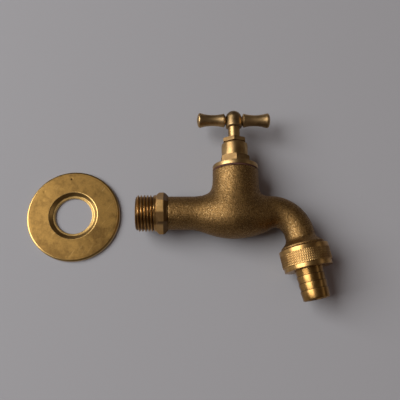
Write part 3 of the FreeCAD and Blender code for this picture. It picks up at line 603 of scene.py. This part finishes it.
def hexagon_piece(name, section, columns, cut, low, high, wide):
    """A fixed piece turned round the spindle's axis, whose milled hexagon is duller than the rest.

    Its faces lie between the levels low and high, and further out than wide.
    """
    mesh = turned_mesh(name, section, columns, cut, sharp=25)
    mesh.materials.append(headwork_brass)
    mesh.materials.append(hexagon_brass)
    for face in mesh.polygons:
        if low < face.center.z < high and face.center.xy.length > wide:
            face.material_index = 1
    mesh.transform(Matrix.Translation(spindle_point))
    place_piece(name + "_turned", mesh, "fixed_body", "machined_brass", name)


def upright_hexagon(flats, turn, foot, top, face):
    """Cuts rows of a turned blank to a hexagon; its corners are chamfered at 30 degrees on top."""
    corner = flats / 2 / math.cos(math.pi / 6)
    cone_top = (face, top)
    cone_foot = (corner, top - (corner - face) * math.tan(math.pi / 6))

    def cut(radius, height, angle):
        reach = hexagon_reach(flats, math.radians(turn), angle)
        sides = (np.abs(height - foot) < 1e-7) & (radius > corner)
        radius = np.where(sides, reach, radius)
        for row_level, end in ((cone_foot[1], 1), (top, 0)):
            row = (np.abs(height - row_level) < 1e-7) & (radius > face - 1e-7)
            at_end = chamfered(reach, cone_top, cone_foot, end)
            radius, height = np.where(row, at_end[0], radius), np.where(row, at_end[1], height)
        return radius, height

    rows = [(corner + 0.0001, foot), (corner + 0.0001, cone_foot[1]), (face, top)]
    return rows, cut


foot, foot_top, collar_foot, screw_end, box_floor = 0.0172, 0.0191, 0.0260, 0.0324, 0.0339
foot_radius, collar_radius, neck_radius = 0.0114, 0.0134, 0.00785
foot_bore, screw_bore, guide, box = 0.0065, 0.00505, 0.00355, 0.0056
bonnet_flats, bonnet_face, inset = 0.0162, 0.00845, 0.0001
bonnet_rows, bonnet_cut = upright_hexagon(bonnet_flats, 90, collar_top + hair, hex_top, bonnet_face)
bonnet_section = rounded(
    [
        (foot_bore, foot, 0.0),
        (foot_radius, foot, 0.0003),
        (foot_radius, collar_foot, 0.0),
        (collar_radius, collar_foot, 0.00035),
        (collar_radius, collar_top, 0.0005),
        (0.0096, collar_top, 0.0),
    ]
)
bonnet_section += bonnet_rows
bonnet_section += rounded(
    [
        (neck_radius, hex_top + hair, 0.0),
        (neck_radius, neck_top, 0.0012),
        (box, neck_top, 0.0003),
        (box, box_floor, 0.0),
        (guide, box_floor, 0.0),
        (guide, screw_end, 0.0),
        (screw_bore, screw_end, 0.0),
        (screw_bore, foot_top, 0.0),
        (foot_bore, foot_top, 0.0),
    ],
    steps=5,
)
milled = (collar_top + inset, hex_top - inset, 0.0079)
hexagon_piece("bonnet", bonnet_section, 144, bonnet_cut, *milled)
gland_foot, gland_seat, gland_top, gland_radius, stem_hole = 0.0394, 0.0433, 0.0457, 0.00555, 0.0036
gland_flats, gland_face, chamfer = 0.0130, 0.0070, 0.0003
gland_rows, gland_cut = upright_hexagon(gland_flats, 83.5, gland_seat, gland_top, gland_face)
gland_section = [(stem_hole, gland_foot), (0.0050, gland_foot), (gland_radius, 0.03995)]
gland_section += [(gland_radius, gland_seat), *gland_rows]
gland_section += [(stem_hole + chamfer, gland_top), (stem_hole, gland_top - chamfer)]
milled = (gland_seat + inset, gland_top - inset, 0.0060)
hexagon_piece("gland_screw", gland_section, 360, gland_cut, *milled)


def soft_finish(name, dark, light, rough, grain=900):
    """A dull stuff such as fibre, cord or rubber, mottled and finely rough."""
    material, shader, place = start_finish(name, metallic=0.0)
    mottle = noise(place, scale=grain, rough=0.6)
    join(
        material,
        shader,
        Base_Color=tint(between(mottle, 0.35, 0.65), dark, light),
        Roughness=rough + mottle * 0.1,
        Normal=bump(mottle, strength=0.5, distance=0.00006),
    )
    return material


def dress(finish, *names):
    """Give nodes of the frame a finish."""
    for name in names:
        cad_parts[name].data.materials.clear()
        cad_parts[name].data.materials.append(finish)


red_fibre = soft_finish("red_fibre", (0.045, 0.012, 0.006), (0.085, 0.024, 0.011), rough=0.7)
dress(red_fibre, "bonnet_washer")
dress(headwork_brass, "spindle")

# Valve and packing: the spindle's screw lifts a brass jumper, with a rubber washer held on by a
# plate and nut, off the seat in the casting. Waxed cord between two rings, under the gland screw,
# keeps the water in round the spindle. All of it is inside and keeps its plain solids.
packing_cord = soft_finish(
    "packing_cord", (0.42, 0.38, 0.29), (0.60, 0.55, 0.44), rough=0.85, grain=1500
)
black_rubber = soft_finish("black_rubber", (0.012, 0.012, 0.012), (0.03, 0.03, 0.03), rough=0.55)
dress(headwork_brass, "jumper", "washer_plate", "washer_nut", "packing_base_ring", "gland_follower")
dress(packing_cord, "gland_packing")
dress(black_rubber, "valve_washer")

# Handle: a round-topped hub and two waisted arms on a cross bar, polished when new and browned
# since by hands and weather. The hub, which nobody holds, is the duller part.
handle_point = (spindle_place, 0, 0.0584)
handle_brass = turned_finish(
    "handle_brass",
    handle_point,
    (1, 0, 0),
    ((0.33, 0.213, 0.093), (0.52, 0.342, 0.155)),
    rough=0.34,
)
hub_brass = turned_finish(
    "hub_brass",
    spindle_point,
    spindle_axis,
    ((0.20, 0.128, 0.056), (0.33, 0.215, 0.097)),
    rough=0.36,
)
dress(hub_brass, "handle_hub")
dress(handle_brass, "handle_bar")


def arc(first, last, radius, side, steps):
    """Points of an arc after its first one, bulging away from the axis (side 1) or to it (-1)."""
    first, last = np.array(first), np.array(last)
    chord = last - first
    length = np.linalg.norm(chord)
    outward = np.array((chord[1], -chord[0])) / length
    centre = (first + last) / 2 - side * outward * math.sqrt(radius**2 - length**2 / 4)
    start, end = (math.atan2(*(point - centre)[::-1]) for point in (first, last))
    turn = (end - start + math.pi) % (2 * math.pi) - math.pi
    turns = [start + turn * step / steps for step in range(1, steps + 1)]
    return [(centre[0] + radius * math.cos(now), centre[1] + radius * math.sin(now)) for now in turns]


bar_hole, arm_foot, arm_end = 0.00205, 0.00505, 0.0224
bead, knob, knob_edge = (0.00415, 0.0063), (0.0045, 0.0204675), (0.0038077, 0.0215548)
arm_section = [(bar_hole, arm_foot), (0.0026, arm_foot), (0.0040, 0.0058), (bead[0], 0.00595), bead]
arm_section += arc(bead, knob, 0.026, -1, 24)
arm_section += arc(knob, knob_edge, 0.0012, 1, 8)
arm_section += arc(knob_edge, (0.0, arm_end), 0.009, 1, 8)
arm_section[-1] = (0.0, arm_end)
arm_section += [(0.0, 0.01335), (bar_hole, 0.01335)]
for name, turn in (("handle_arm_inlet", -math.pi / 2), ("handle_arm_outlet", math.pi / 2)):
    arm = turned_mesh(name, arm_section, 96, sharp=30)
    arm.transform(Matrix.Translation(handle_point) @ Matrix.Rotation(turn, 4, "Y"))
    arm.materials.append(handle_brass)
    place_piece(name + "_turned", arm, "spindle_and_handle", "handle_brass", name)

# Union: the spout ends in a pipe thread of the inlet's pitch, but wider. A knurled nut screws on it
# and clamps the tail's flange on a rubber washer; both are turned from brass bar and still bright.
outlet_axis = (math.sin(outlet_tilt), 0, -math.cos(outlet_tilt))
bend_end = (
    body_sizes["Bend place"] + body_sizes["Bend radius"] * math.cos(outlet_tilt),
    0,
    body_sizes["Spout level"] - body_sizes["Bend radius"] * (1 - math.sin(outlet_tilt)),
)
on_outlet = Matrix.Translation(bend_end) @ Matrix.Rotation(math.pi - outlet_tilt, 4, "Y")
barbs_start, barb, barb_count = 0.0203, 0.0041, 4


def barb_painted_shade(along, away, level):
    """Painted shade in the steps behind the barbs."""
    step = between(along.math("FRACT", (along - barbs_start) / barb), 0.90, 0.96)
    return step * stretch(along, barbs_start + 0.0030, barbs_start + 0.0135)


union_brass = turned_finish(
    "union_brass",
    bend_end,
    outlet_axis,
    ((0.26, 0.137, 0.037), (0.37, 0.21, 0.066)),
    rough=0.25,
    lines=0.1,
    darken_where=barb_painted_shade,
)
outlet_thread = dict(inlet_thread, Crest=0.01145, Depth=0.0010, Runout=0.0046, Shoulder=0.0050)
thread_core, thread_nose, shoulder = 0.0100, 0.0108, 0.0049
thread_rows = np.arange(row_gap, 0.0048, row_gap)
crest = outlet_thread["Crest"]
outlet_section = [(thread_core, 0.0), (thread_nose, 0.0)]
outlet_section += [(min(crest, thread_nose + level), float(level)) for level in thread_rows]
outlet_section += [(crest, shoulder), (thread_core, shoulder)]
outlet_blank = turned_mesh("outlet_blank", outlet_section, 240)
outlet_mesh = shape_with(thread_tree(), outlet_thread, union_brass, outlet_blank)
outlet_mesh.set_sharp_from_angle(angle=math.radians(30))
outlet_mesh.transform(
    Matrix.Translation(Vector(bend_end) + body_sizes["Outlet end"] * Vector(outlet_axis))
    @ Matrix.Rotation(-outlet_tilt, 4, "Y")
)
place_piece("tap_body_outlet", outlet_mesh, "fixed_body", "cast_brass")
knurl_sizes = {
    "Radius": 0.0141,
    "Depth": 0.00013,
    "Around": 88.0,
    "Row": 0.00127,
    "Top": 0.0112,
    "Foot": 0.0179,
}


def knurl_tree():
    """Presses a diamond knurl into the middle band of the nut."""
    tree, size = start_tree("Diamond knurl", knurl_sizes)
    wire = Wire(tree)
    x, y, z = split(wire.node("GeometryNodeInputPosition"))
    fade_length, skin = 0.0002, 0.0001
    away = wire.math("SQRT", x * x + y * y)
    turn = wire.math("ARCTAN2", y, x) * size["Around"] / (2 * math.pi)
    grooves = [
        wire.math("ABSOLUTE", wire.math("FRACT", turn + lean * (z / size["Row"]) * 0.5) * 2.0 - 1.0)
        for lean in (1.0, -1.0)
    ]
    deep = wire.math("MAXIMUM", *(between(groove, 0.2, 1.0) for groove in grooves))
    outside = wire.math("GREATER_THAN", away, size["Radius"] - skin)
    under_top = between(z, size["Top"] - fade_length, size["Top"])
    band = under_top * (1.0 - between(z, size["Foot"], size["Foot"] + fade_length))
    share = 1.0 - (size["Depth"] * deep * band * outside) / away
    moved = wire.node("ShaderNodeCombineXYZ", None, {"X": x * share, "Y": y * share, "Z": z})
    cut = wire.node("GeometryNodeSetPosition", None, {"Geometry": size["Geometry"], "Position": moved})
    end_tree(tree, cut, size["Finish"])
    return tree


def knurl_groove_tone(along, away, level):
    """Darker at the bottom of the knurl, between the nut's plain rims."""
    crest = knurl_sizes["Radius"] - 0.00001
    band = stretch(along, knurl_sizes["Top"] - 0.0002, knurl_sizes["Foot"] + 0.0001)
    return (1.0 - between(away, crest - 0.0001, crest)) * band * 0.6


nut_brass = turned_finish(
    "nut_brass",
    bend_end,
    outlet_axis,
    ((0.37, 0.204, 0.066), (0.55, 0.332, 0.118)),
    rough=0.26,
    lines=0.05,
    marks=0.05,
    darken_where=knurl_groove_tone,
)
nut_top, nut_step, nut_foot, nut_radius, rim = 0.0086, 0.0183, 0.0208, knurl_sizes["Radius"], 0.01355
nut_bore, flange_seat, tail_hole = 0.0115, 0.0174, 0.0083
knurl_rows = np.arange(0.0109, 0.0180, knurl_sizes["Row"] / 10)
nut_section = [(nut_bore, nut_top, 0.0003), (nut_radius, nut_top, 0.0003)]
nut_section += [(nut_radius, float(level), 0.0) for level in knurl_rows]
nut_section += [
    (nut_radius, nut_step, 0.00025),
    (rim, nut_step, 0.0),
    (rim, nut_foot, 0.0004),
    (tail_hole, nut_foot, 0.0003),
    (tail_hole, flange_seat, 0.0),
    (nut_bore, flange_seat, 0.0),
]
nut_blank = turned_mesh("nut_blank", rounded(nut_section), 704)
nut_mesh = shape_with(knurl_tree(), knurl_sizes, nut_brass, nut_blank)
nut_mesh.set_sharp_from_angle(angle=math.radians(70))
nut_mesh.transform(on_outlet)
place_piece("union_nut_knurled", nut_mesh, "nut", "machined_brass", "union_nut")
dress(black_rubber, "union_washer")
tail_bore, tail_radius, tail_end = 0.0058, 0.0080, 0.0381
flange_radius, flange_top, flange_foot = 0.01115, 0.0150, 0.0173
tail_section = [(tail_bore, flange_top, 0.0), (flange_radius, flange_top, 0.0002)]
tail_section += [(flange_radius, flange_foot, 0.0002), (tail_radius, flange_foot, 0.0)]
for count in range(barb_count):
    barb_radius, barb_foot = tail_radius - 0.00004 * count, barbs_start + barb * (count + 1)
    tail_section.append((barb_radius, barbs_start + barb * count, 0.00014))
    if count < barb_count - 1:
        tail_section.append((barb_radius - 0.00045, barb_foot, 0.0))
tail_section += [(0.00743, 0.0376, 0.0002), (0.0069, tail_end, 0.0001), (tail_bore, tail_end, 0.0002)]
tail_mesh = turned_mesh("hose_tail", rounded(tail_section, steps=2), 144, sharp=25)
tail_mesh.transform(on_outlet)
tail_mesh.materials.append(union_brass)
place_piece("hose_tail_turned", tail_mesh, "tail", "machined_brass", "hose_tail")

# Rose: the cover that hides the hole in the wall, pressed from thin brass sheet with a rolled edge
# and a dished middle. It lies loose and face up beside the tap, satin with age, and has a few dents
# and scratches from handling.
rose_middle, rose_back = (-0.0498, 0, 0.0020), 0.0142
rose_rim, rim_width, crown, edge = 0.0273, 0.0021, 0.0028, 0.00225
lip, lip_radius, slope_end, floor_end, hole = 0.0146, 0.00095, 0.01394, 0.0123, 0.0109
pit_place = (-0.0022, 0.0228)
# each dent: where across and up from the middle, how wide and how deep
dents = [
    (*pit_place, 0.0005, 0.00022),
    (-0.0180, 0.0148, 0.0006, 0.00015),
    (-0.0165, 0.0122, 0.0018, 0.00014),
    (-0.0185, 0.0092, 0.0015, 0.0001),
]


def rose_finish():
    """Brass sheet browned in clouds and painted darker low down as shade, with fine lines, scratches
    and edges rubbed bright.
    """
    tarnish, satin_brass = (0.16, 0.088, 0.026), (0.345, 0.20, 0.056)
    speck_brown, pit_brown = (0.20, 0.12, 0.045), (0.05, 0.025, 0.01)
    scratch_brass, rubbed_brass = (0.62, 0.42, 0.17), (0.56, 0.36, 0.13)
    material, shader, place = start_finish("rose_brass")
    wide = noise(place, scale=55, detail=4.0, rough=0.6, warp=0.4)
    cloud = noise(place, scale=260, detail=4.0, rough=0.6)
    speck = between(noise(place, scale=1900, detail=2.0), 0.62, 0.76)
    fine = between(noise(place, scale=1300, rough=0.65), 0.36, 0.64)
    level = split(place)[2]
    # painted shade: the level term makes the rose darker towards its bottom
    tarnish_and_shade = between(wide * 0.55 + cloud * 0.45 + level * 2.0, 0.39, 0.60) * 0.75 + fine * 0.25
    colour = tint(tarnish_and_shade, tarnish, satin_brass)
    colour = tint(speck * 0.3, colour, speck_brown)

    # the press and later hands left fine lines, at a slant across the face
    brushed, lines = (
        noise(
            place.node(
                "ShaderNodeMapping",
                {"vector_type": "TEXTURE"},
                {0: place, "Rotation": (0, lean, 0), "Scale": (1, 1, long)},
            ),
            scale,
            detail=2.0,
        )
        for lean, long, scale in ((0.45, 25, 3000), (0.55, 30, 1300))
    )
    scratch = between(lines, 0.66, 0.70) * between(wide, 0.46, 0.56)
    colour = tint(scratch * 0.35, colour, scratch_brass)

    # its outer edge and the lip of the dish are rubbed bright, and the deepest dent is dark
    across = place.vector("MULTIPLY", place.vector("SUBTRACT", place, rose_middle), (1, 0, 1))
    away = across.vector("LENGTH", across, out="Value")
    on_rim = between(away, rose_rim - 0.0010, rose_rim - 0.0008)
    rubbed = away.math("MAXIMUM", on_rim, 1.0 - between(away, lip - 0.0002, lip + 0.0001))
    colour = tint(rubbed * 0.7, colour, rubbed_brass)
    off_pit = across.vector("DISTANCE", across, (pit_place[0], 0, pit_place[1]), out="Value")
    colour = tint(1.0 - between(off_pit, 0.0003, 0.0007), colour, pit_brown)
    join(
        material,
        shader,
        Base_Color=colour,
        Roughness=0.50 + cloud * 0.14 + speck * 0.1 - rubbed * 0.24,
        Normal=bump(brushed * 0.8 + cloud * 0.5 - scratch, strength=0.4, distance=0.00003),
    )
    return material


rose_section = [(rose_rim - 0.0011, 0.0), (rose_rim, 0.0)]
rose_section += [
    (rose_rim - inward, level)
    for inward, level in (
        (0.0, 0.0016),
        (0.00008, 0.00175),
        (0.0002, 0.00184),
        (0.0005, 0.00197),
        (0.00085, 0.00212),
        (0.001, 0.00216),
        (0.0012, 0.00217),
        (0.0015, 0.00216),
        (0.0018, 0.00222),
    )
]
face_start = rose_rim - rim_width
rose_section += [
    (face_start + (lip - face_start) * share, edge + (crown - edge) * share)
    for share in np.linspace(0.0, 1, 60)
]
rose_section += [
    (lip - lip_radius * math.sin(turn), crown - lip_radius * (1 - math.cos(turn)))
    for turn in np.radians(np.linspace(7, 41.5, 6))
]
rose_section += rounded(
    [
        (slope_end, 0.0025, 0.0),
        (floor_end, 0.0011, 0.0003),
        (hole, 0.0011, 0.00025),
        (hole, 0.0, 0.0001),
        (0.01272, 0.0, 0.0),
        (0.01464, 0.0017, 0.0),
        (rose_rim - 0.0011, 0.0011, 0.0),
    ]
)[1:]
rose_mesh = turned_mesh("wall_rose", rose_section, 360)
spots = np.zeros(len(rose_mesh.vertices) * 3)
rose_mesh.vertices.foreach_get("co", spots)
spots = spots.reshape(-1, 3)
face_up = (spots[:, 2] > 0.0018) & (np.hypot(spots[:, 0], spots[:, 1]) > lip)
for across, above, wide, deep in dents:
    off = np.hypot(spots[:, 0] - across, spots[:, 1] - above)
    spots[:, 2] -= face_up * deep * np.exp(-((off / wide) ** 2))
rose_mesh.vertices.foreach_set("co", spots.reshape(-1))
rose_mesh.transform(
    Matrix.Translation((rose_middle[0], rose_back, rose_middle[2])) @ Matrix.Rotation(math.pi / 2, 4, "X")
)
rose_mesh.materials.append(rose_finish())
place_piece("wall_rose_pressed", rose_mesh, "fixed_body", "rose_brass", "wall_rose")

# Table: the plain grey top that the tap and its rose lie on, seen from above. Its back can't be
# seen, so that it doesn't hide the tap from behind, and what touches it gets light from there.
table_plane, table_half, table_grey = 0.01425, 2, (0.31, 0.31, 0.32, 1)
touching, clear = 0.0008, 0.0035
table_mesh = bpy.data.meshes.new("table")
table_corners = [(-1, -1), (1, -1), (1, 1), (-1, 1)]
table_mesh.from_pydata(
    [(across * table_half, table_plane, above * table_half) for across, above in table_corners],
    [],
    [(0, 1, 2, 3)],
)
table = bpy.data.objects.new("table", table_mesh)
bpy.context.scene.collection.objects.link(table)
table_finish, table_shader, _ = start_finish("table_grey", metallic=0.0)
table_shader.inputs["Roughness"].default_value = 0.8
table_shader.inputs["Base Color"].default_value = table_grey
table_wire = Wire(table_finish.node_tree, table_shader.outputs[0])
unseen = table_wire.node("ShaderNodeBsdfTransparent")
backside = table_wire.node("ShaderNodeNewGeometry", out="Backfacing")
ray_length, looking = (
    table_wire.node("ShaderNodeLightPath", out=kind) for kind in ("Ray Length", "Is Camera Ray")
)
near = (1.0 - between(ray_length, touching, clear)) * (1.0 - looking)
hidden = table_wire.math("MAXIMUM", backside, near)
mixed = table_wire.node("ShaderNodeMixShader", None, {0: hidden, 1: table_wire, 2: unseen})
table_finish.node_tree.links.new(
    mixed.socket, table_finish.node_tree.nodes["Material Output"].inputs["Surface"]
)
table_mesh.materials.append(table_finish)

# Light: a wide soft window to the left and a faint glow from the room on the right. The room is
# dim and warm in front of the table, and pale behind it.
shown_grey, behind_grey = (0.305, 0.305, 0.315), (0.36, 0.35, 0.345)
room_brown, mirrored_brown = (0.13, 0.088, 0.075), (0.05, 0.038, 0.032)
world = bpy.data.worlds.new("room")
world.use_nodes = True
bpy.context.scene.world = world
room = Wire(world.node_tree)
seen, mirrored = (
    room.node("ShaderNodeLightPath", out=kind) for kind in ("Is Camera Ray", "Is Glossy Ray")
)
behind = between(split(room.node("ShaderNodeTexCoord", out="Generated"))[1], 0.0, 0.5)
air = tint(behind, tint(mirrored, room_brown, mirrored_brown), behind_grey)
air = tint(seen, air, shown_grey)
world.node_tree.links.new(air.socket, world.node_tree.nodes["Background"].inputs["Color"])
lit_point = Vector((0.02, 0, 0))


def lamp(name, place, width, height, power, colour):
    """A soft rectangle of light that faces the middle of the tap."""
    data = bpy.data.lights.new(name, "AREA")
    data.shape, data.size, data.size_y = "RECTANGLE", width, height
    data.energy, data.color = power, colour
    made = bpy.data.objects.new(name, data)
    made.location = place
    made.rotation_euler = (lit_point - Vector(place)).to_track_quat("-Z", "Y").to_euler()
    bpy.context.scene.collection.objects.link(made)


lamp("window", (-1.90, -1.77, 0.32), width=2.1, height=2.1, power=99.0, colour=(0.975, 0.98, 1.0))
lamp("glow", (0.64, -0.36, 0.03), width=0.14, height=0.5, power=0.12, colour=(1.0, 0.93, 0.85))

# Camera: where the photograph was taken from, below the middle and slightly from the left. The
# origin of the frame shows at the aimed pixel.
azimuth, elevation, roll = (math.radians(degrees) for degrees in (-2.281, -16.628, -0.759))
picture_size, focal_pixels, aimed_pixel, camera_reach = 400, 508.745, (156.4, 213.3), 0.291972
flat = math.cos(elevation)
back = Vector((math.sin(azimuth) * flat, -math.cos(azimuth) * flat, math.sin(elevation)))
right = Vector((math.cos(azimuth), math.sin(azimuth), 0))
up = back.cross(right)
right_turned = right * math.cos(roll) + up * math.sin(roll)
up_turned = up * math.cos(roll) - right * math.sin(roll)
pixel = camera_reach / focal_pixels
aimed_right = (aimed_pixel[0] - picture_size / 2) * pixel
aimed_up = (picture_size / 2 - aimed_pixel[1]) * pixel
camera_data = bpy.data.cameras.new("camera")
camera_data.sensor_width = 36.0
camera_data.lens = focal_pixels / picture_size * camera_data.sensor_width
camera_data.clip_start = 0.01
camera = bpy.data.objects.new("camera", camera_data)
camera.matrix_world = (
    Matrix.Translation(back * camera_reach - right_turned * aimed_right - up_turned * aimed_up)
    @ Matrix((right_turned, up_turned, back)).transposed().to_4x4()
)
bpy.context.scene.collection.objects.link(camera)
bpy.context.scene.camera = camera
bpy.context.scene.view_settings.view_transform = "Standard"
